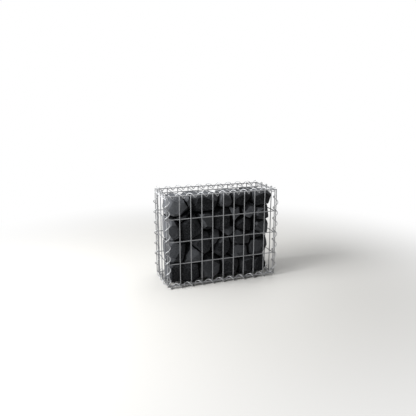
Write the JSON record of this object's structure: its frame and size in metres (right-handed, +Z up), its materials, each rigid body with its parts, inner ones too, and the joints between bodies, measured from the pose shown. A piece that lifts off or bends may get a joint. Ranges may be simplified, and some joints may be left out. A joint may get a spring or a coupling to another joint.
{
  "type": "gabion wall unit, a rock-filled welded-mesh basket",
  "caption": "Free-standing gabion: a rectangular basket of welded wire mesh, laced along every edge with spiral wires and packed with dark broken rock.",
  "frame": {"origin": "middle of the footprint, on the ground, under the lowest spirals", "axes": "+X along the wall to the right of someone facing its front, +Y from the front face to the rear face, +Z up"},
  "size_m": [0.536, 0.226, 0.4249],
  "materials": {
    "mesh_wire": "hot-dip galvanised, dull grey",
    "spiral_wire": "galvanised, a little brighter than the mesh",
    "rock": "broken faces of dark basalt, matt with pale dust"
  },
  "bodies": {
    "root": {"base_panel": "mesh_wire", "front_panel": "mesh_wire", "left_end_panel": "mesh_wire", "lid_panel": "mesh_wire", "rear_panel": "mesh_wire", "right_end_panel": "mesh_wire", "spiral_bottom_front": "spiral_wire", "spiral_bottom_left": "spiral_wire", "spiral_bottom_rear": "spiral_wire", "spiral_bottom_right": "spiral_wire", "spiral_corner_front_left": "spiral_wire", "spiral_corner_front_right": "spiral_wire", "spiral_corner_rear_left": "spiral_wire", "spiral_corner_rear_right": "spiral_wire", "spiral_top_front": "spiral_wire", "spiral_top_left": "spiral_wire", "spiral_top_rear": "spiral_wire", "spiral_top_right": "spiral_wire", "stones_front_bottom": "rock", "stones_front_lower": "rock", "stones_front_top": "rock", "stones_front_upper": "rock", "stones_rear_bottom": "rock", "stones_rear_lower": "rock", "stones_rear_top": "rock", "stones_rear_upper": "rock"}
  },
  "joints": []
}
